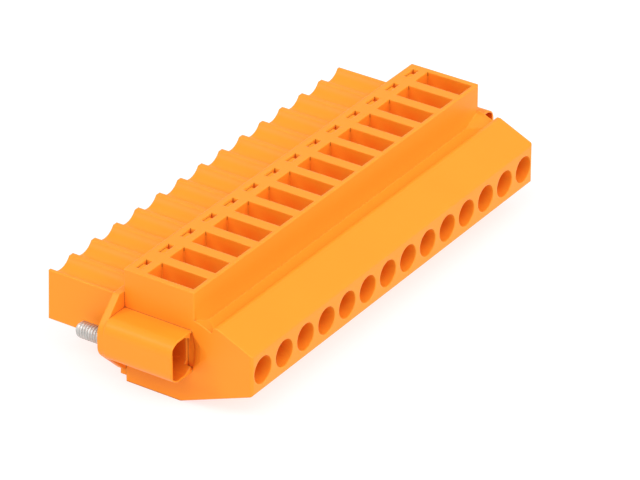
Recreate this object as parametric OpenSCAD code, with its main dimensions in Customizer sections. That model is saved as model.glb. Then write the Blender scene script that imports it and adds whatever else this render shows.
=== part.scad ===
// Pluggable terminal block: a row of spring-clamp wire positions in one moulded
// housing, with a flange screw at each end and sockets on the far side that push
// onto a row of pins.
// Millimetres, +Z up. Wires enter from -Y, the plug mates towards +Y, and the row
// runs along X. The origin is the middle of the footprint, level with the underside.

/* [Row] */
// Number of wire positions in the row.
poles = 14; // [2:1:20]
// Distance from one wire position to the next.
pitch = 5.08; // [5.08:0.01:6.35]

/* [Wire hood] */
// Depth of the low hood in front of the tall block.
hood_depth = 9.35; // [9.2:0.05:11]
// Height of the upright wire face.
face_height = 6.15; // [6.1:0.05:6.8]
// Height of the wire face's lower edge above the underside.
face_rise = 4.65; // [4.2:0.05:4.8]
// Height of the roof's crest above the underside.
roof_height = 13.33; // [13.2:0.05:13.6]
// Depth at which the sloping roof reaches its crest.
crest_start = 5.55; // [5:0.05:5.8]
// Slope of the underside behind the wire face.
under_slope = 21.4; // [20:0.1:24]
// Radius of the wire face's edges, the long ones and the upright ones.
face_edge_r = 0.45; // [0.2:0.05:0.6]
// Depth at which the marking groove's floor starts.
groove_start = 6.65; // [6.5:0.05:7.2]
// Depth of the marking groove below the crest, at the foot of the tall block.
groove_depth = 1.4; // [1:0.05:1.6]

/* [Wire entries] */
// Diameter of the funnel that a wire enters by.
wire_hole_d = 4.05; // [3.5:0.05:4.1]
// Height of the wire entries' centre line above the underside.
wire_axis_z = 7.71; // [7.6:0.05:7.9]
// Diameter of the guide behind the funnel, which the bare wire fills.
wire_guide_d = 3.3; // [2.8:0.05:3.4]
// Depth of the wide part of the funnel.
wire_hole_depth = 6; // [4:0.25:7]

/* [Tall block] */
// Depth of the tall block.
block_depth = 11.5; // [11.3:0.05:13]
// Height of the tall block above the underside.
block_height = 17.7; // [16:0.1:20]
// Thickness of the wall between the block's face and its pockets.
front_wall = 0.62; // [0.5:0.02:0.8]
// Length of a tool slot, from front to back.
slot_length = 7.6; // [7.5:0.05:7.8]
// Width of a tool slot.
slot_width = 3.4; // [3.3:0.05:3.8]
// Width of a test slot.
test_width = 2.6; // [1.8:0.1:3]
// Length of a test slot, from front to back.
test_length = 1; // [0.6:0.05:1.2]
// Depth of the test slot's shallow part.
test_ledge = 0.4; // [0.3:0.05:1]
// Width of the probe hole that drops from the test slot's end to the contact.
test_hole = 0.7; // [0.5:0.05:1.3]
// Distance from the tool slot's back wall to the middle of the test slot.
test_offset = 1.78; // [1.6:0.02:2]

/* [Mating side] */
// Depth of the socket side behind the flange plate.
mating_depth = 11.7; // [11.5:0.1:14]
// Height of the socket side's underside.
mating_bottom = 5.9; // [5:0.05:6.2]
// How far the socket side's ends lean out towards the underside.
mating_draft = 0.35; // [0:0.05:0.4]
// Height of the crests on top of the socket side.
mating_top = 13.37; // [13.1:0.05:14]
// Depth of the hollow over each position.
scallop_depth = 1.15; // [0.6:0.05:1.2]
// Width of the flat crest between two hollows.
crest_width = 0.85; // [0.6:0.05:1.4]
// Width of a socket opening.
socket_width = 3.2; // [3.15:0.05:3.6]
// Height of a socket opening.
socket_height = 3.7; // [3.4:0.05:3.9]

/* [Flanges] */
// Distance from the last wire position to the screw beside it.
screw_offset = 5.08; // [5.05:0.01:5.4]
// Width of each flange beyond the end of the block.
flange_width = 4.94; // [4.9:0.02:5.4]
// Thickness of the flange plate behind the block.
plate_thickness = 1.05; // [0.8:0.05:1.3]
// Height of the flange plate's top edge.
plate_top = 14.2; // [13.8:0.1:15]
// Height of the flange sleeve that the screw head sits in.
sleeve_height = 6.4; // [6.3:0.05:7]
// Radius of the sleeve's outer corners.
sleeve_corner_r = 1.9; // [1.5:0.05:2.2]
// Thickness of the sleeve's wall round its wide mouth.
rim_thickness = 0.45; // [0.35:0.05:0.55]
// Depth of the sleeve's wide mouth, which leads a screwdriver to the head.
mouth_depth = 4.5; // [2:0.25:6]
// Depth of the recess in the end wall beside the mouth.
recess_depth = 0.45; // [0.2:0.05:0.5]

/* [Flange screws] */
// Diameter of the screw thread.
thread_d = 2.45; // [2.4:0.05:2.6]
// Length that the screw stands out behind the flange plate.
thread_reach = 4.9; // [3:0.1:7]
// Diameter of the screw head.
screw_head_d = 3.7; // [3.3:0.05:3.75]
// Length of the screw head.
screw_head_length = 2.2; // [1.6:0.1:3]
// Clearance round the screw head inside its sleeve.
head_clearance = 0.1; // [0.05:0.01:0.14]
// Diameter of the reduced neck that turns in the plate.
neck_d = 1.9; // [1.7:0.05:2]

/* [Contacts] */
// Thickness of the contact bar.
bar_thickness = 0.8; // [0.7:0.05:0.9]
// Width of the contact bar where it passes through the housing.
bar_width = 3; // [2.6:0.05:3.05]
// Width of the bar's front end, inside the spring's window.
bar_nose_width = 1.9; // [1.5:0.05:1.9]
// Thickness of the two socket arms.
arm_thickness = 0.4; // [0.3:0.02:0.45]
// Gap between the socket arms at their narrowest, before a pin opens them.
arm_gap = 0.6; // [0.4:0.05:0.8]

/* [Clamp springs] */
// Thickness of the spring strip.
strip_thickness = 0.4; // [0.3:0.02:0.45]
// Width of the spring strip.
strip_width = 2.9; // [2.8:0.05:2.95]
// Radius of the spring's two bends, at the middle of the strip.
bend_r = 1.55; // [1.5:0.01:1.6]
// Play between the bar and the sides of the spring's window.
window_play = 0.1; // [0.05:0.01:0.14]

/* [Hidden] */
$fn = 48;
hair = 0.01;
// Housing planes, counted back from the wire face.
row_length = poles * pitch;
pocket_front = hood_depth + front_wall;
pocket_back = pocket_front + slot_length;
block_back = hood_depth + block_depth;
plate_back = block_back + plate_thickness;
total_depth = plate_back + mating_depth;
under_run = face_rise / tan(under_slope);
groove_z = roof_height - groove_depth;
groove_step = 0.5;
crest_edge_r = 0.2;
corner_r = 0.25;
gusset_width = 3.4;
gusset_front = 1;
gusset_rise = 1.55;
gusset_foot = 0.48;
test_centre = pocket_back + test_offset;
// Contact heights and planes.
bar_bottom = wire_axis_z + 1.19;
bar_top = bar_bottom + bar_thickness;
bar_mid = bar_bottom + bar_thickness / 2;
bar_front = pocket_front + 0.25;
bar_shoulder = pocket_back - 2;
socket_front = block_back - 0.25;
arm_spread = 1.25;
contact_end = total_depth - 2;
pocket_floor = wire_axis_z - 2.5;
// Clamp spring: its foot rolls on the bar and its front limb hangs in the pocket.
limb_y = pocket_front + 1.1;
bend_z = bar_top + 1.65;
rear_bend_y = pocket_back - 0.25 - strip_thickness / 2 - bend_r;
foot_y = rear_bend_y + bend_r * cos(foot_angle());
foot_z = bar_top + strip_thickness / 2;
strip_bottom = bar_bottom - 0.95;
window_bottom = bar_bottom - 0.05;
window_top = bar_top + 2.7;
window_width = bar_nose_width + 2 * window_play;
// Flanges and screws.
end_x = row_length / 2;
screw_x = end_x - pitch / 2 + screw_offset;
flange_x = end_x + flange_width;
cavity_r = screw_head_d / 2 + head_clearance;
sleeve_mid = wire_axis_z + 0.84;
mouth_y = pocket_front - 0.22;
mouth_r = sleeve_height / 2 - 0.2;
mouth_half = sleeve_height / 2 - 0.3;
plate_bore_d = neck_d + 0.4;
screw_tip_y = plate_back + thread_reach;

function foot_angle() = -asin((bend_z - bar_top - strip_thickness / 2) / bend_r);
function pole_x(i) = (i - (poles + 1) / 2) * pitch;
function unit(v) = v / norm(v);

// Moves a shape from wire-face depths to the model's own origin.
module seat() {
    translate([0, -total_depth / 2, 0])
        children();
}

// Extrudes a (depth, height) outline along the row, centred on x.
module along_row(x, width) {
    translate([x - width / 2, 0, 0])
        rotate([90, 0, 90])
            linear_extrude(height = width)
                children();
}

// Extrudes an (x, height) outline from one depth to another.
module along_depth(front, back) {
    translate([0, back, 0])
        rotate([90, 0, 0])
            linear_extrude(height = back - front)
                children();
}

// A cylinder along the depth axis, with a radius for each end.
module depth_rod(x, z, front, back, r_front, r_back) {
    translate([x, front, z])
        rotate([-90, 0, 0])
            cylinder(h = back - front, r1 = r_front, r2 = r_back);
}

// Outline through points whose corners are rounded by the matching radii.
module rounded_outline(points, radii) {
    n = len(points);
    corners = [
        for (i = [0:n - 1])
            let (
                u = unit(points[(i + n - 1) % n] - points[i]),
                w = unit(points[(i + 1) % n] - points[i]),
                half = acos(u * w) / 2,
                reach = radii[i] / tan(half)
            )
            [points[i] + u * reach, points[i] + w * reach,
             points[i] + unit(u + w) * radii[i] / sin(half)]
    ];
    polygon([for (i = [0:n - 1]) for (k = [0:(radii[i] > 0 ? 1 : 0)]) corners[i][k]]);
    for (i = [0:n - 1])
        if (radii[i] > 0)
            translate(corners[i][2])
                circle(r = radii[i]);
}

// Straight piece of strip between two (depth, height) points, rounded at both ends.
module strip_run(from, to, thickness) {
    translate(from)
        rotate(atan2(to[1] - from[1], to[0] - from[0]))
            translate([0, -thickness / 2])
                square([norm(to - from), thickness]);
    for (p = [from, to])
        translate(p)
            circle(d = thickness, $fn = 20);
}

// Bent piece of strip round a centre, from one angle to another.
module strip_bend(centre, r, thickness, from, to) {
    reach = 4 * r;
    steps = 4;
    translate(centre)
        intersection() {
            difference() {
                circle(r = r + thickness / 2);
                circle(r = r - thickness / 2);
            }
            polygon(concat([[0, 0]], [for (k = [0:steps])
                let (a = from + (to - from) * k / steps)
                reach * [cos(a), sin(a)]]));
        }
}

// Side outline shared by the hood and the tall block.
module body_outline() {
    rounded_outline(
        [
            [0, face_rise], [under_run, 0], [block_back, 0], [block_back, block_height],
            [hood_depth, block_height], [hood_depth, groove_z], [groove_start, groove_z],
            [groove_start - groove_step, roof_height], [crest_start, roof_height],
            [0, face_rise + face_height]
        ],
        [face_edge_r, 0, 0, 0, 0, 0, 0, crest_edge_r, 0, face_edge_r]
    );
}

// Corner fillet that carries the groove's floor up to the block at one end.
module corner_gusset() {
    back_y = hood_depth + hair;
    front_y = groove_start - 0.4 * groove_step;
    bulge_y = hood_depth - 1;
    base_z = groove_z - gusset_rise / 4;
    inner_x = end_x - gusset_width;
    front_x = end_x - gusset_front;
    polyhedron(
        points = [
            [end_x, back_y, base_z], [inner_x, back_y, base_z],
            [front_x, front_y, base_z], [end_x, front_y, base_z],
            [end_x, back_y, groove_z + gusset_rise], [inner_x, back_y, groove_z],
            [front_x, front_y, groove_z], [end_x, front_y, groove_z + gusset_foot],
            [end_x, bulge_y, groove_z + 0.82 * gusset_rise]
        ],
        faces = [
            [0, 1, 2, 3], [0, 4, 5, 1], [0, 3, 7, 8, 4], [1, 5, 6, 2], [2, 6, 7, 3],
            [4, 8, 5], [8, 7, 6], [8, 6, 5]
        ]
    );
}

// Waste to take off one upright corner so that it is left with a round edge.
module corner_waste(depth, low, high, r) {
    translate([end_x - r, depth + r, low])
        difference() {
            translate([0, -2 * r, 0])
                cube([2 * r, 2 * r, high - low]);
            translate([0, 0, -r])
                cylinder(r = r, h = high - low + 2 * r);
        }
}

// One end of the plate that the plug screws down through.
module flange_plate() {
    ear_z = 8.5;
    ear_reach = flange_x + 1.9;
    inset = 0.15;
    foot_z = 0.85;
    ear_r = 2.4;
    along_depth(block_back - hair, plate_back)
        rounded_outline(
            [
                [0, foot_z], [end_x - inset, foot_z], [end_x - inset, 2],
                [end_x + 0.5, ear_z - ear_reach + end_x + 0.5], [flange_x, ear_z - 1.9],
                [flange_x, ear_z + 1.9], [ear_reach - plate_top + ear_z, plate_top], [0, plate_top]
            ],
            [0, 0, 0, 0, ear_r, ear_r, 0, 0]
        );
}

// Square-backed sleeve that guards one screw head.
module screw_sleeve() {
    inner = end_x - 1;
    low = sleeve_mid - sleeve_height / 2;
    high = sleeve_mid + sleeve_height / 2;
    along_depth(mouth_y, block_back)
        rounded_outline(
            [[inner, low], [flange_x, low], [flange_x, high], [inner, high]],
            [0, sleeve_corner_r, sleeve_corner_r, 0]
        );
}

// Room for one screw: the head's bore, the wide mouth in front of it and the neck's bore.
module screw_room() {
    depth_rod(screw_x, wire_axis_z, mouth_y - hair, block_back, cavity_r, cavity_r);
    depth_rod(screw_x, wire_axis_z, block_back - 1, plate_back + 1, plate_bore_d / 2, plate_bore_d / 2);
    intersection() {
        depth_rod(screw_x, sleeve_mid, mouth_y - hair, mouth_y + mouth_depth, mouth_r, mouth_r);
        translate([end_x, mouth_y - hair, sleeve_mid - mouth_half])
            cube([flange_width - rim_thickness, mouth_depth + 2 * hair, 2 * mouth_half]);
    }
}

// Recess in the end wall: it deepens towards the sleeve and runs in behind its rim.
module end_wall_recess() {
    recess_r = 9;
    gap = 0.45;
    shares = [1, 0.6, 0.22, 0];
    steps = [0, 0.4, 1.2, 2.4];
    for (k = [1:len(steps) - 1])
        depth_rod(end_x + recess_r, sleeve_mid, mouth_y - steps[k], mouth_y - steps[k - 1] + (k > 1 ? hair : 0),
            recess_r + shares[k] * recess_depth, recess_r + shares[k - 1] * recess_depth);
    translate([end_x - recess_depth, mouth_y - hair, sleeve_mid - mouth_half])
        cube([recess_depth + gap, 1, 2 * mouth_half]);
}

// Everything moulded on one end of the row, except the screw's room.
module end_shapes() {
    corner_gusset();
    flange_plate();
    screw_sleeve();
}

// Everything taken out of one end of the row.
module end_hollows() {
    screw_room();
    end_wall_recess();
    corner_waste(0, -1, roof_height + 1, face_edge_r);
    corner_waste(hood_depth, groove_z + gusset_rise, block_height + 1, corner_r);
}

// Long block on the mating side, hollowed over every position.
module mating_block() {
    chord = pitch - crest_width;
    scallop_r = (chord * chord / 4 + scallop_depth * scallop_depth) / (2 * scallop_depth);
    difference() {
        along_depth(block_back - hair, total_depth)
            polygon([
                [-end_x - mating_draft, mating_bottom], [end_x + mating_draft, mating_bottom],
                [end_x, mating_top], [-end_x, mating_top]
            ]);
        for (i = [1:poles])
            depth_rod(pole_x(i), mating_top - scallop_depth + scallop_r,
                plate_back, total_depth + 1, scallop_r, scallop_r);
    }
}

// Hollows of one wire position: wire entry, spring pocket, test slot, bar slot, socket.
module position_hollows(x) {
    taper = 0.5;
    rim = 0.2;
    wide = wire_hole_d / 2;
    guide = wire_guide_d / 2;
    depth_rod(x, wire_axis_z, -hair, wire_hole_depth, wide, wide);
    depth_rod(x, wire_axis_z, wire_hole_depth - hair, wire_hole_depth + taper, wide, guide);
    depth_rod(x, wire_axis_z, wire_hole_depth, pocket_front + hair, guide, guide);
    translate([x - slot_width / 2, pocket_front, pocket_floor])
        cube([slot_width, slot_length, block_height]);
    translate([x - test_width / 2, test_centre - test_length / 2, block_height - test_ledge])
        cube([test_width, test_length, block_height]);
    translate([x + test_width / 2 - test_hole, test_centre - test_length / 2, bar_mid])
        cube([test_hole, test_length, block_height]);
    translate([x - bar_width / 2, pocket_back - hair, bar_bottom])
        cube([bar_width, socket_front - pocket_back + 2 * hair, bar_thickness]);
    translate([x - socket_width / 2, socket_front, bar_mid - socket_height / 2])
        cube([socket_width, total_depth, socket_height]);
    translate([x - socket_width / 2 - rim, total_depth - rim, bar_mid - socket_height / 2 - rim])
        cube([socket_width + 2 * rim, total_depth, socket_height + 2 * rim]);
}

module housing() {
    color([0.98, 0.60, 0.16])
        seat()
            difference() {
                union() {
                    along_row(0, row_length)
                        body_outline();
                    mating_block();
                    end_shapes();
                    mirror([1, 0, 0])
                        end_shapes();
                }
                end_hollows();
                mirror([1, 0, 0])
                    end_hollows();
                for (i = [1:poles])
                    position_hollows(pole_x(i));
            }
}

// One socket arm, bowed out behind the bar and pinched together near its tip.
module socket_arm(side) {
    pinch = arm_gap / 2 + arm_thickness / 2;
    path = [
        [socket_front + 0.5, bar_mid],
        [socket_front + 1.9, bar_mid + side * arm_spread],
        [contact_end - 4.2, bar_mid + side * arm_spread],
        [contact_end - 1, bar_mid + side * pinch],
        [contact_end, bar_mid + side * (pinch + 0.45)]
    ];
    for (k = [1:len(path) - 1])
        strip_run(path[k - 1], path[k], arm_thickness);
}

module contact(i) {
    color([0.78, 0.78, 0.76])
        seat()
            translate([pole_x(i), 0, 0]) {
                translate([-bar_nose_width / 2, bar_front, bar_bottom])
                    cube([bar_nose_width, bar_shoulder - bar_front + hair, bar_thickness]);
                translate([-bar_width / 2, bar_shoulder, bar_bottom])
                    cube([bar_width, socket_front + 0.6 - bar_shoulder, bar_thickness]);
                along_row(0, bar_width - 0.4)
                    union() {
                        socket_arm(1);
                        socket_arm(-1);
                    }
            }
}

// Side outline of a clamp spring: foot, rear bend, back, front bend and front limb.
module spring_outline() {
    limb_bend_y = limb_y + bend_r;
    top_z = bend_z + bend_r;
    strip_bend([rear_bend_y, bend_z], bend_r, strip_thickness, foot_angle(), 90);
    translate([foot_y, foot_z])
        circle(d = strip_thickness, $fn = 32);
    translate([limb_bend_y - hair, top_z - strip_thickness / 2])
        square([rear_bend_y - limb_bend_y + 2 * hair, strip_thickness]);
    strip_bend([limb_bend_y, bend_z], bend_r, strip_thickness, 90, 180);
    translate([limb_y - strip_thickness / 2, strip_bottom])
        square([strip_thickness, bend_z - strip_bottom + hair]);
}

module clamp_spring(i) {
    color([0.70, 0.71, 0.72])
        seat()
            difference() {
                along_row(pole_x(i), strip_width)
                    spring_outline();
                translate([pole_x(i) - window_width / 2, limb_y - bend_r, window_bottom])
                    cube([window_width, 1.6 * bend_r, window_top - window_bottom]);
            }
}

// A captive screw: slotted head, plain neck and a thread that starts behind the plate.
module flange_screw(side) {
    head_front = block_back - screw_head_length;
    neck_end = plate_back + 0.2;
    slot = 0.6;
    thread_r = thread_d / 2;
    tip = 0.5;
    color([0.72, 0.72, 0.72])
        seat()
            translate([side * screw_x, 0, wire_axis_z])
                difference() {
                    union() {
                        depth_rod(0, 0, head_front, block_back, screw_head_d / 2, screw_head_d / 2);
                        depth_rod(0, 0, block_back - hair, neck_end + hair, neck_d / 2, neck_d / 2);
                        depth_rod(0, 0, neck_end, screw_tip_y - tip, thread_r, thread_r);
                        depth_rod(0, 0, screw_tip_y - tip - hair, screw_tip_y, thread_r, thread_r - tip);
                    }
                    translate([-screw_head_d, head_front - slot, -slot / 2])
                        cube([2 * screw_head_d, 2 * slot, slot]);
                }
}

housing();
for (i = [1:poles]) contact(i);
for (i = [1:poles]) clamp_spring(i);
flange_screw(-1);  // flange_screw_left
flange_screw(1);  // flange_screw_right
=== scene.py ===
"""Pluggable terminal block with a screw flange at each end.

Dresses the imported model: one orange moulding, tinned contacts and steel clamp
springs inside it, and two captive flange screws whose threads are cut here.
Lengths are metres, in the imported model's own frame.
"""
import logging
import math
from dataclasses import dataclass, field
from enum import Enum
from typing import Union

import bpy
import numpy as np
from mathutils import Matrix, Vector

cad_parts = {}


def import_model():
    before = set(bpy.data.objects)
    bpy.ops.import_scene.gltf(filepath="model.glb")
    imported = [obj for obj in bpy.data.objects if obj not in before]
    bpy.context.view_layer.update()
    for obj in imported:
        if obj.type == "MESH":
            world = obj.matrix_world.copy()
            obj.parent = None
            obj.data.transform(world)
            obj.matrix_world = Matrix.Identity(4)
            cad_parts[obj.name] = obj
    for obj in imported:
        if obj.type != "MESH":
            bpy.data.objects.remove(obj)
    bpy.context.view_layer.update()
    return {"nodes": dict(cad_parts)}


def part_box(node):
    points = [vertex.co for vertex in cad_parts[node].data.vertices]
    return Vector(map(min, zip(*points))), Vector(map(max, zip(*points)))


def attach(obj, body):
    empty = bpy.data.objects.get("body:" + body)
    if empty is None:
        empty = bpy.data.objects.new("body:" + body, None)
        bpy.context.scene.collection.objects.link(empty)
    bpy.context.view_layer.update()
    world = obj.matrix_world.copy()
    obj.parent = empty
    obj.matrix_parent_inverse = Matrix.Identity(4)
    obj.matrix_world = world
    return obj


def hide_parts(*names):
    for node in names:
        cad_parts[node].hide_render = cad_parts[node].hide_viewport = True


LOG = logging.getLogger("terminal_block")
MM = 0.001
POLES = 14
PITCH = 5.08 * MM
END_RECESS = 0.45 * MM
WHITE = (1.0, 1.0, 1.0, 1.0)

Colour = tuple[float, float, float]
Point = tuple[float, float, float]
Value = Union["Wire", float]


class Side(Enum):
    """Which end of the row a flange belongs to."""

    LEFT = "left"
    RIGHT = "right"


class Sum(Enum):
    """Math node operations that the shader wrapper offers by name."""

    ADD = "ADD"
    SUBTRACT = "SUBTRACT"
    MULTIPLY = "MULTIPLY"
    MAXIMUM = "MAXIMUM"
    ABSOLUTE = "ABSOLUTE"


@dataclass(frozen=True)
class Band:
    """Two values that a mask turns into 0 and 1; it may run downwards."""

    zero_at: float
    one_at: float


class Wire:
    """One node output, on which Python's operators add Math nodes."""

    def __init__(self, board: "Board", socket: bpy.types.NodeSocket) -> None:
        """Keeps the output and the board that it belongs to.

        Args:
            board: The node tree's wrapper.
            socket: The output that this value comes from.
        """
        self.board = board
        self.socket = socket

    def _sum(self, kind: Sum, first: Value, second: Value | None = None) -> "Wire":
        """Adds one Math node.

        Args:
            kind: The operation.
            first: Left operand.
            second: Right operand, where the operation has one.

        Returns:
            The node's output.
        """
        return self.board.node(
            "ShaderNodeMath", {"operation": kind.value}, {0: first, 1: second})[0]

    def __add__(self, other: Value) -> "Wire":
        """Adds another value.

        Args:
            other: The right operand.

        Returns:
            self + other.
        """
        return self._sum(Sum.ADD, self, other)

    def __radd__(self, other: Value) -> "Wire":
        """Adds self to a left operand.

        Args:
            other: The left operand.

        Returns:
            other + self.
        """
        return self._sum(Sum.ADD, other, self)

    def __sub__(self, other: Value) -> "Wire":
        """Subtracts another value.

        Args:
            other: The right operand.

        Returns:
            self - other.
        """
        return self._sum(Sum.SUBTRACT, self, other)

    def __rsub__(self, other: Value) -> "Wire":
        """Subtracts self from a left operand.

        Args:
            other: The left operand.

        Returns:
            other - self.
        """
        return self._sum(Sum.SUBTRACT, other, self)

    def __mul__(self, other: Value) -> "Wire":
        """Multiplies by another value.

        Args:
            other: The right operand.

        Returns:
            self * other.
        """
        return self._sum(Sum.MULTIPLY, self, other)

    def __rmul__(self, other: Value) -> "Wire":
        """Multiplies a left operand by self.

        Args:
            other: The left operand.

        Returns:
            other * self.
        """
        return self._sum(Sum.MULTIPLY, other, self)

    def __abs__(self) -> "Wire":
        """Drops the sign.

        Returns:
            The size of self.
        """
        return self._sum(Sum.ABSOLUTE, self)

    def most(self, other: Value) -> "Wire":
        """Picks the larger value.

        Args:
            other: The value to compare with.

        Returns:
            The larger of self and other.
        """
        return self._sum(Sum.MAXIMUM, self, other)


# Sockets that are picked by position, because a node gives several the same name.
MIX_SHARE, MIX_FIRST, MIX_SECOND = 0, 6, 7
OBJECT_COORDINATES, SHADED_NORMAL, SKY_SHARE = 3, 1, 1
SKY_SAMPLES, EDGE_SAMPLES = 12, 8
# Dot product of the flat and the turned normal: no edge, and a full edge.
EDGE_TURN = Band(0.995, 0.80)


@dataclass(frozen=True)
class Grain:
    """Noise with features of a size, drawn out along the axes."""

    per_m: float
    detail: float = 2.0
    stretch: Point = (1.0, 1.0, 1.0)


class Board:
    """A node tree that is filled by naming nodes, their settings and their inputs."""

    def __init__(self, tree: bpy.types.NodeTree) -> None:
        """Empties the tree.

        Args:
            tree: A material's or a world's node tree.
        """
        self.tree = tree
        tree.nodes.clear()

    def node(self, kind: str, settings: dict[str, object] | None = None,
             inputs: dict[int | str, object] | None = None) -> list[Wire]:
        """Adds any node.

        Args:
            kind: The node's type name.
            settings: Properties that are set before its inputs.
            inputs: Values or wires for its sockets, by name or position.

        Returns:
            Its enabled outputs, in order.
        """
        made = self.tree.nodes.new(kind)
        for name, setting in (settings or {}).items():
            setattr(made, name, setting)
        for key, value in (inputs or {}).items():
            if isinstance(value, Wire):
                self.tree.links.new(value.socket, made.inputs[key])
            elif value is not None:
                made.inputs[key].default_value = value
        return [Wire(self, out) for out in made.outputs if out.enabled]

    def mix(self, share: Value, first: object, second: object) -> Wire:
        """Blends two colours.

        Args:
            share: How much of the second colour shows.
            first: Colour or wire.
            second: Colour or wire.

        Returns:
            The blended colour.
        """
        pair = [tone if isinstance(tone, Wire) else (*tone, 1.0) for tone in (first, second)]
        return self.node("ShaderNodeMix", {"data_type": "RGBA"}, {
            MIX_SHARE: share, MIX_FIRST: pair[0], MIX_SECOND: pair[1]})[0]

    def place(self) -> Wire:
        """Finds the shaded point in the object's own coordinates.

        Returns:
            The point, in metres.
        """
        return self.node("ShaderNodeTexCoord")[OBJECT_COORDINATES]

    def noise(self, place: Wire, grain: Grain) -> Wire:
        """Noise in the object's own space.

        Args:
            place: Object coordinates, in metres.
            grain: How fine it is, and how it is drawn out.

        Returns:
            A value around 0.5.
        """
        moved = self.node("ShaderNodeMapping", {}, {"Vector": place, "Scale": grain.stretch})[0]
        return self.node("ShaderNodeTexNoise", {}, {
            "Vector": moved, "Scale": grain.per_m, "Detail": grain.detail})[0]

    def spread(self, value: Wire, band: Band) -> Wire:
        """Maps a band to 0..1, clamped.

        Args:
            value: The value to map.
            band: Where the result is zero and where it is one.

        Returns:
            The mapped value.
        """
        return self.node("ShaderNodeMapRange", {}, {
            "Value": value, "From Min": band.zero_at, "From Max": band.one_at})[0]

    def open_sky(self, reach: float) -> Wire:
        """Share of the sky that nearby surfaces leave open.

        Args:
            reach: How far a hiding surface may be, in metres.

        Returns:
            One in the open, towards zero in a deep hollow.
        """
        return self.node(
            "ShaderNodeAmbientOcclusion", {"samples": SKY_SAMPLES}, {"Distance": reach})[SKY_SHARE]

    def rounded(self, radius: float) -> tuple[Wire, Wire]:
        """Normals turned over an edge, and a mask of where they turn.

        The mask grows as the dot product of the turned and the flat normal falls.

        Args:
            radius: Edge radius in metres.

        Returns:
            The turned normal and the mask.
        """
        turned = self.node("ShaderNodeBevel", {"samples": EDGE_SAMPLES}, {"Radius": radius})[0]
        flat = self.node("ShaderNodeNewGeometry")[SHADED_NORMAL]
        dot = self.node("ShaderNodeVectorMath", {"operation": "DOT_PRODUCT"}, {0: turned, 1: flat})
        return turned, self.spread(dot[-1], EDGE_TURN)


def new_material(name: str) -> tuple[bpy.types.Material, Board]:
    """Makes an empty node material.

    Args:
        name: The material's name.

    Returns:
        The material and its board.
    """
    material = bpy.data.materials.new(name)
    material.use_nodes = True
    return material, Board(material.node_tree)


@dataclass(frozen=True)
class Hollows:
    """Masks of the places that light reaches less, each from 0 to 1."""

    pocket_shade: Wire
    bore_shade: Wire
    corner: Wire
    sheltered: Wire
    seam: Wire


@dataclass(frozen=True)
class HollowFinder:
    """Finds hollows by the share of open sky at a near and at a far reach.

    A deep hollow hides far more sky at the far reach than at the near one, and an
    inner corner hides about as much at both. Outboard is past the row's ends, where
    the screw sleeves are, and the crown is the tall block's top.
    """

    near_reach: float = 4.0 * MM
    far_reach: float = 8.0 * MM
    crease_shade_reach: float = 0.4 * MM
    narrow: Band = Band(0.30, 0.04)
    sheltered: Band = Band(0.72, 0.42)
    corner: Band = Band(0.88, 0.46)
    corner_walled: Band = Band(0.20, 0.08)
    pocket_shade: Band = Band(0.42, 0.26)
    pocket_walled: Band = Band(0.26, 0.36)
    pocket_share: float = 0.45
    bore_walled: Band = Band(0.28, 0.54)
    seam: Band = Band(0.78, 0.50)
    outboard: Band = Band(POLES * PITCH / 2 - END_RECESS - 0.1 * MM,
                          POLES * PITCH / 2 - END_RECESS)
    crown: Band = Band(17.0 * MM, 17.1 * MM)

    def find(self, board: Board, place: Wire) -> Hollows:
        """Adds the masks to a material.

        Args:
            board: The material's board.
            place: Object coordinates.

        Returns:
            The masks.
        """
        near, far = board.open_sky(self.near_reach), board.open_sky(self.far_reach)
        walled = near - far
        along, _, height = board.node("ShaderNodeSeparateXYZ", {}, {"Vector": place})
        outboard = board.spread(abs(along), self.outboard)
        inboard = 1 - outboard
        crown = board.spread(height, self.crown)
        # Painted shade mask for deep walled hollows inside the row, and for narrow ones.
        pocket_shade = (board.spread(walled, self.pocket_walled) * board.spread(far, self.pocket_shade)
                  * inboard * self.pocket_share)
        return Hollows(
            pocket_shade=board.spread(near, self.narrow).most(pocket_shade),
            # Painted shade inside the screw sleeves.
            bore_shade=board.spread(walled, self.bore_walled) * outboard,
            # Inner corners that get painted light.
            corner=(board.spread(near, self.corner) * board.spread(walled, self.corner_walled)
                    * inboard),
            sheltered=board.spread(near, self.sheltered),
            # Painted shade in tight creases on the sleeves and the block's top.
            seam=board.spread(board.open_sky(self.crease_shade_reach), self.seam) * outboard.most(crown))


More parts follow.
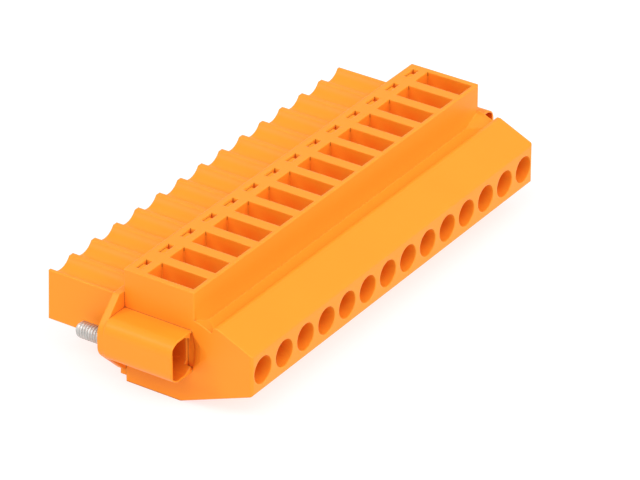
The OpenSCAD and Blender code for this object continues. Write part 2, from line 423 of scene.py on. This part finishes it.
@dataclass(frozen=True)
class MouldedPlastic:
    """Satin moulded plastic: faint grain, flow clouds, edges lightened by wear and a painted
    highlight, painted shade in hollows and creases, painted light in inner corners.
    """

    name: str
    colour: Colour
    cloud: Colour
    # Lighter edge colour: patchy wear plus a painted highlight.
    edge_wear_and_highlight: Colour
    # Deep red painted shade inside slots and holes.
    pocket_shade: Colour
    # Darker brown-red painted shade inside the screw sleeves.
    bore_shade: Colour
    # Dark brown painted shade in tight inner creases on the sleeves and the block's top.
    seam: Colour
    # Painted light that lifts inner corners such as the groove floor.
    lit: Colour
    roughness: float = 0.40
    specular: float = 0.23
    ior: float = 1.46
    edge_radius: float = 0.30 * MM
    hollow_finder: HollowFinder = HollowFinder()
    clouds: Grain = Grain(110.0, 3.0, (1.0, 0.55, 1.4))
    cloud_band: Band = Band(0.30, 0.72)
    cloud_share: float = 0.5
    grain: Grain = Grain(5200.0)
    grain_height: float = 0.006 * MM
    grain_strength: float = 0.35
    scuffs: Grain = Grain(900.0, 4.0, (1.0, 0.25, 1.0))
    scuff_band: Band = Band(0.58, 0.74)
    scuff_height: float = 0.3
    wear: Grain = Grain(420.0, 3.0)
    wear_band: Band = Band(0.35, 0.65)
    edge_wear_and_highlight_share: float = 0.65
    edge_wear_and_highlight_least: float = 0.55
    lit_share: float = 0.85
    crease_shade_share: float = 0.8
    gloss_grain: float = 0.16
    gloss_scuffs: float = 0.07
    gloss_edge: float = 0.06
    gloss_clouds: float = 0.03
    gloss_sheltered: float = 0.3

    def build(self) -> bpy.types.Material:
        """Builds the shader.

        Returns:
            The material.
        """
        material, board = new_material(self.name)
        place = board.place()
        clouds = board.spread(board.noise(place, self.clouds), self.cloud_band)
        grain = board.noise(place, self.grain)
        scuffs = board.spread(board.noise(place, self.scuffs), self.scuff_band)
        turned, edge = board.rounded(self.edge_radius)
        patchy = board.spread(board.noise(place, self.wear), self.wear_band)
        hollows = self.hollow_finder.find(board, place)
        # Edge mask: patchy wear plus a painted highlight, kept off sheltered faces.
        edge_wear_and_highlight = (edge * (self.edge_wear_and_highlight_least + (1 - self.edge_wear_and_highlight_least) * patchy)
                * (1 - hollows.sheltered) * self.edge_wear_and_highlight_share)
        body = board.mix(clouds * self.cloud_share, self.colour, self.cloud)
        # Painted light in inner corners, then edge wear with a painted highlight, then painted
        # shade in slots, holes, sleeve cavities and creases.
        for share, tone in ((hollows.corner * self.lit_share, self.lit), (edge_wear_and_highlight, self.edge_wear_and_highlight),
                            (hollows.pocket_shade, self.pocket_shade), (hollows.bore_shade, self.bore_shade),
                            (hollows.seam * self.crease_shade_share, self.seam)):
            body = board.mix(share, body, tone)
        gloss = (self.roughness + (grain - 0.5) * self.gloss_grain + scuffs * self.gloss_scuffs
                 - edge * self.gloss_edge + clouds * self.gloss_clouds
                 + hollows.sheltered * self.gloss_sheltered)
        bump = board.node("ShaderNodeBump", {}, {
            "Strength": self.grain_strength, "Distance": self.grain_height,
            "Height": grain + scuffs * self.scuff_height, "Normal": turned})[0]
        shader = board.node("ShaderNodeBsdfPrincipled", {}, {
            "Base Color": body, "Roughness": gloss, "Normal": bump, "IOR": self.ior,
            "Specular IOR Level": self.specular})[0]
        board.node("ShaderNodeOutputMaterial", {}, {"Surface": shader})
        return material


@dataclass(frozen=True)
class PlatedMetal:
    """Bright plated or rolled metal with draw lines and dull patches."""

    name: str
    colour: Colour
    dull: Colour
    roughness: float
    line_stretch: Point
    line_per_m: float = 2600.0
    line_height: float = 0.003 * MM
    line_strength: float = 0.4
    patches: Grain = Grain(700.0, 3.0)
    patch_band: Band = Band(0.35, 0.7)
    patch_share: float = 0.6
    edge_radius: float = 0.06 * MM
    gloss_lines: float = 0.22
    gloss_patches: float = 0.08
    gloss_edge: float = 0.05

    def build(self) -> bpy.types.Material:
        """Builds the shader.

        Returns:
            The material.
        """
        material, board = new_material(self.name)
        place = board.place()
        lines = board.noise(place, Grain(self.line_per_m, 3.0, self.line_stretch))
        patches = board.spread(board.noise(place, self.patches), self.patch_band)
        turned, edge = board.rounded(self.edge_radius)
        tint = board.mix(patches * self.patch_share * (1 - edge), self.colour, self.dull)
        gloss = (self.roughness + (lines - 0.5) * self.gloss_lines
                 + patches * self.gloss_patches - edge * self.gloss_edge)
        bump = board.node("ShaderNodeBump", {}, {
            "Strength": self.line_strength, "Distance": self.line_height,
            "Height": lines, "Normal": turned})[0]
        shader = board.node("ShaderNodeBsdfPrincipled", {}, {
            "Base Color": tint, "Metallic": 1.0, "Roughness": gloss, "Normal": bump})[0]
        board.node("ShaderNodeOutputMaterial", {}, {"Surface": shader})
        return material


# The edge colour is wear plus a painted highlight; the slot, sleeve and crease colours are painted
# shade; lit is painted light.
ORANGE = MouldedPlastic(
    name="orange_moulding", colour=(0.98, 0.292, 0.018), cloud=(0.96, 0.274, 0.016),
    edge_wear_and_highlight=(0.99, 0.47, 0.045), pocket_shade=(0.99, 0.085, 0.002), bore_shade=(0.76, 0.130, 0.006),
    seam=(0.40, 0.095, 0.008), lit=(1.00, 0.41, 0.035))
TINNED = PlatedMetal(
    "tinned_copper", (0.74, 0.73, 0.70), (0.52, 0.51, 0.48), 0.30, (1.0, 0.06, 1.0))
SPRING = PlatedMetal(
    "spring_steel", (0.66, 0.67, 0.68), (0.46, 0.47, 0.48), 0.26, (0.05, 1.0, 1.0))
ZINC = PlatedMetal(
    "zinc_screw", (0.66, 0.65, 0.63), (0.45, 0.43, 0.41), 0.50, (1.0, 1.0, 1.0))


@dataclass
class Shell:
    """Points and faces of closed surfaces that become one mesh."""

    points: list[np.ndarray] = field(default_factory=list)
    faces: list[list[int]] = field(default_factory=list)
    count: int = 0

    def add(self, rings: np.ndarray) -> None:
        """Adds a tube of rings with a flat cap at each end.

        Point (i, j) is ring i at step j; quads join ring i to ring i + 1 and the last
        step wraps to the first, and each cap is one face over an end ring.

        Args:
            rings: Array (rings, steps, 3), anticlockwise seen from the far end.
        """
        rows, steps, _ = rings.shape
        index = self.count + np.arange(rows * steps).reshape(rows, steps)
        ahead = np.roll(index, -1, axis=1)
        quads = np.stack([index[:-1], ahead[:-1], ahead[1:], index[1:]], axis=-1).reshape(-1, 4)
        self.faces += quads.tolist()
        self.faces += [index[0, ::-1].tolist(), index[-1].tolist()]
        self.points.append(rings.reshape(-1, 3))
        self.count += rows * steps

    def mesh(self, name: str, material: bpy.types.Material,
             smooth_below: float) -> bpy.types.Object:
        """Makes the object, at the origin.

        Args:
            name: The object's name.
            material: Its finish.
            smooth_below: Edge angle in degrees under which the surface shades smoothly.

        Returns:
            The object.
        """
        data = bpy.data.meshes.new(name)
        data.from_pydata(np.concatenate(self.points).tolist(), [], self.faces)
        data.materials.append(material)
        piece = bpy.data.objects.new(name, data)
        bpy.context.scene.collection.objects.link(piece)
        data.polygons.foreach_set("use_smooth", [True] * len(data.polygons))
        data.set_sharp_from_angle(angle=math.radians(smooth_below))
        data.update()
        return piece


@dataclass
class FlangeScrew:
    """Captive slotted screw whose thread starts behind the flange plate."""

    side: Side
    finish: bpy.types.Material
    head_length: float = 2.2 * MM
    neck_length: float = 1.25 * MM
    neck_radius: float = 0.95 * MM
    thread_radius: float = 1.225 * MM
    thread_pitch: float = 0.45 * MM
    tip: float = 0.5 * MM
    slot_width: float = 0.6 * MM
    slot_depth: float = 0.6 * MM
    edge_break: float = 0.04 * MM
    overlap: float = 0.02 * MM
    lobe_overlap: float = 0.05 * MM
    relief: float = 0.12 * MM
    root_share: float = 0.12
    flank_share: float = 0.72
    depth_share: float = 0.61
    fade_turns: float = 0.75
    smooth_below: float = 32.0
    steps: int = 64
    rows_per_turn: int = 14

    @property
    def node(self) -> str:
        """The CAD node that this screw stands for.

        Returns:
            The node's name.
        """
        return f"flange_screw_{self.side.value}"

    def _place(self, x: np.ndarray, y: np.ndarray, z: np.ndarray) -> np.ndarray:
        """Moves screw coordinates, y from the head's face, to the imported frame.

        Args:
            x: Across the axis.
            y: Along the axis.
            z: Up.

        Returns:
            Array of points.
        """
        low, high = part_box(self.node)
        middle_x, middle_z = (low[0] + high[0]) / 2, (low[2] + high[2]) / 2
        return np.stack([x + middle_x, y + low[1], z + middle_z], axis=-1)

    def shank(self) -> np.ndarray:
        """Neck and thread as one surface of rings.

        The radius at angle a and depth y is the root plus the thread's height times a
        clipped triangle wave of (y / pitch - a / 2 pi); it fades in at the start over
        three quarters of a turn and is limited by the 45-degree cone of the tip.

        Returns:
            Rings from the head to the tip.
        """
        low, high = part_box(self.node)
        start = self.head_length + self.neck_length
        end = high[1] - low[1]
        rows = int((end - start) / self.thread_pitch * self.rows_per_turn)
        neck = [self.head_length - self.overlap, start - self.relief]
        y = np.concatenate([neck, np.linspace(start, end, rows)])
        a = np.arange(self.steps) / self.steps * 2 * np.pi
        turn = y[:, None] / self.thread_pitch - a[None, :] / (2 * np.pi)
        wave = np.abs(turn - np.round(turn)) * 2
        shape = np.clip((wave - self.root_share) / self.flank_share, 0.0, 1.0)
        depth = self.depth_share * self.thread_pitch
        fade = np.clip((y - start) / (self.fade_turns * self.thread_pitch), 0.0, 1.0)[:, None]
        cut = self.thread_radius - depth + depth * shape
        radius = self.neck_radius + (cut - self.neck_radius) * fade
        cone = self.thread_radius - np.clip(y - (end - self.tip), 0.0, None)[:, None]
        radius = np.minimum(radius, cone)
        along = np.broadcast_to(y[:, None], radius.shape)
        return self._place(-radius * np.cos(a), along, radius * np.sin(a))

    def _prism(self, outline: np.ndarray, start: float, end: float) -> np.ndarray:
        """An outline carried along the axis, drawn in at both ends.

        Each ring is centre + (outline - centre) * s, where s shrinks so that the
        farthest point moves in by the edge break.

        Args:
            outline: Array (steps, 2) of x and z.
            start: Where it begins, from the head's face.
            end: Where it ends.

        Returns:
            Rings.
        """
        centre = outline.mean(axis=0)
        shrink = 1 - self.edge_break / np.linalg.norm(outline - centre, axis=1).max()
        y = np.array([start, start + self.edge_break, end - self.edge_break, end])
        s = np.array([shrink, 1.0, 1.0, shrink])
        flat = centre + (outline - centre)[None] * s[:, None, None]
        return self._place(flat[..., 0], np.broadcast_to(y[:, None], flat.shape[:2]), flat[..., 1])

    def head(self) -> list[np.ndarray]:
        """The head: a disc behind the slot and a lobe on each side of it.

        A lobe is the circle's arc beyond half the slot's width, closed by its chord.

        Returns:
            Rings of each of the three shells.
        """
        low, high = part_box(self.node)
        radius = (high[0] - low[0]) / 2
        a = np.arange(self.steps) / self.steps * 2 * np.pi
        disc = np.stack([-radius * np.cos(a), radius * np.sin(a)], axis=-1)
        reach = math.acos(self.slot_width / 2 / radius)
        b = np.linspace(-reach, reach, self.steps // 2)
        shells = [self._prism(disc, self.slot_depth, self.head_length)]
        for sign in (1, -1):
            lobe = np.stack([sign * radius * np.sin(b), sign * radius * np.cos(b)], axis=-1)
            shells.append(self._prism(lobe, 0.0, self.slot_depth + self.lobe_overlap))
        return shells

    def build(self) -> bpy.types.Object:
        """Builds the screw and puts it on its body.

        Returns:
            The screw.
        """
        shell = Shell()
        shell.add(self.shank())
        for rings in self.head():
            shell.add(rings)
        piece = shell.mesh(f"screw_{self.side.value}", self.finish, self.smooth_below)
        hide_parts(self.node)
        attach(piece, f"screw_{self.side.value}")
        return piece


def dress(piece: bpy.types.Object, material: bpy.types.Material) -> None:
    """Puts one material on every slot of a CAD node.

    Args:
        piece: The node's object.
        material: Its finish.
    """
    if not piece.material_slots:
        piece.data.materials.append(material)
    for slot in piece.material_slots:
        slot.material = material


@dataclass
class Moulding:
    """The one-piece orange housing, which keeps its CAD shape."""

    nodes: dict[str, bpy.types.Object]
    finish: MouldedPlastic = ORANGE

    def dress(self) -> None:
        """Gives the housing its finish."""
        dress(self.nodes["housing"], self.finish.build())


@dataclass
class PoleRow:
    """The contacts and clamp springs, one of each for every wire position."""

    nodes: dict[str, bpy.types.Object]
    contact_finish: PlatedMetal = TINNED
    spring_finish: PlatedMetal = SPRING

    def dress(self) -> int:
        """Gives each contact and spring its finish.

        Returns:
            How many positions there are.
        """
        tinned, steel = self.contact_finish.build(), self.spring_finish.build()
        count = 0
        for name, piece in self.nodes.items():
            if name.startswith("contact_"):
                dress(piece, tinned)
                count += 1
            elif name.startswith("clamp_spring_"):
                dress(piece, steel)
        return count


@dataclass(frozen=True)
class Lamp:
    """A soft sun."""

    name: str
    level: float
    toward: Point
    angle: float

    def build(self) -> None:
        """Puts the lamp in the scene; its level is the light on a face square to it."""
        data = bpy.data.lights.new(self.name, "SUN")
        data.energy = self.level * math.pi
        data.angle = math.radians(self.angle)
        lamp = bpy.data.objects.new(self.name, data)
        lamp.rotation_mode = "QUATERNION"
        lamp.rotation_quaternion = Vector(self.toward).to_track_quat("Z", "Y")
        bpy.context.scene.collection.objects.link(lamp)


@dataclass
class Studio:
    """Pale floor, three soft lamps, an even sky and the camera."""

    sky: float = 0.52
    lamps: tuple[Lamp, ...] = (
        Lamp("key", 0.38, (-0.58, -0.05, 0.81), 45.0),
        Lamp("fill", 0.52, (0.05, -0.76, 0.65), 60.0),
        Lamp("rim", 0.19, (-0.50, 0.48, 0.72), 16.0),
    )
    floor_shade: float = 0.34
    floor_tooth: Grain = Grain(900.0)
    floor_dip: float = 0.99
    floor_glow: float = 0.71
    floor_roughness: float = 0.9
    floor_roughness_grain: float = 0.05
    floor_specular: float = 0.1
    floor_half: float = 4.0
    floor_level: float = -0.02 * MM
    azimuth: float = 56.06
    elevation: float = 30.04
    aim: Point = (0.0, -0.8 * MM, 10.65 * MM)
    offset: tuple[float, float] = (2.45 * MM, -3.44 * MM)
    distance: float = 621.5 * MM
    lens_mm: float = 249.463125
    sensor_mm: float = 36.0
    clip: tuple[float, float] = (0.01, 20.0)

    def camera(self) -> None:
        """Places the camera: it looks along its own axis past the aim point."""
        a, e = math.radians(self.azimuth), math.radians(self.elevation)
        ahead = Vector((math.sin(a) * math.cos(e), math.cos(a) * math.cos(e), -math.sin(e)))
        right = Vector((math.cos(a), -math.sin(a), 0.0))
        up = right.cross(ahead)
        data = bpy.data.cameras.new("camera")
        data.lens = self.lens_mm
        data.sensor_width = self.sensor_mm
        data.clip_start, data.clip_end = self.clip
        camera = bpy.data.objects.new("camera", data)
        bpy.context.scene.collection.objects.link(camera)
        place = (Vector(self.aim) + right * self.offset[0] + up * self.offset[1]
                 - ahead * self.distance)
        turn = Matrix((right, up, -ahead)).transposed().to_4x4()
        camera.matrix_world = Matrix.Translation(place) @ turn
        bpy.context.scene.camera = camera

    def lights(self) -> None:
        """The lamps, and a sky that mirrors see as white."""
        for lamp in self.lamps:
            lamp.build()
        world = bpy.data.worlds.new("sky")
        world.use_nodes = True
        bpy.context.scene.world = world
        board = Board(world.node_tree)
        path = {out.socket.name: out for out in board.node("ShaderNodeLightPath")}
        seen = path["Is Camera Ray"].most(path["Is Glossy Ray"]).most(path["Is Transmission Ray"])
        strength = self.sky + seen * (1.0 - self.sky)
        sky = board.node("ShaderNodeBackground", {}, {"Color": WHITE, "Strength": strength})[0]
        board.node("ShaderNodeOutputWorld", {}, {"Surface": sky})

    def floor(self) -> None:
        """A pale matt floor under the object."""
        material, board = new_material("floor_card")
        tooth = board.noise(board.place(), self.floor_tooth)
        shade = self.floor_shade
        paper = board.mix(tooth, (shade,) * 3, (shade * self.floor_dip,) * 3)
        shader = board.node("ShaderNodeBsdfPrincipled", {}, {
            "Base Color": paper,
            "Roughness": self.floor_roughness + tooth * self.floor_roughness_grain,
            "Specular IOR Level": self.floor_specular,
            "Emission Color": WHITE, "Emission Strength": self.floor_glow})[0]
        board.node("ShaderNodeOutputMaterial", {}, {"Surface": shader})
        half, low = self.floor_half, self.floor_level
        data = bpy.data.meshes.new("floor")
        square = [(-half, -half, low), (half, -half, low), (half, half, low), (-half, half, low)]
        data.from_pydata(square, [], [(0, 1, 2, 3)])
        data.materials.append(material)
        floor = bpy.data.objects.new("floor", data)
        bpy.context.scene.collection.objects.link(floor)

    def build(self) -> None:
        """Sets up the view and the light."""
        settings = bpy.context.scene.view_settings
        settings.view_transform = "Standard"
        self.camera()
        self.lights()
        self.floor()


def main() -> None:
    """Builds the object and the studio."""
    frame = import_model()
    nodes = frame["nodes"]
    Studio().build()
    LOG.info("studio ready")
    Moulding(nodes).dress()
    LOG.info("housing dressed")
    LOG.info("positions dressed: %d", PoleRow(nodes).dress())
    zinc = ZINC.build()
    for side in Side:
        screw = FlangeScrew(side, zinc).build()
        LOG.info("%s: %d faces", screw.name, len(screw.data.polygons))


if __name__ == "__main__":
    logging.basicConfig(level=logging.INFO)
    main()
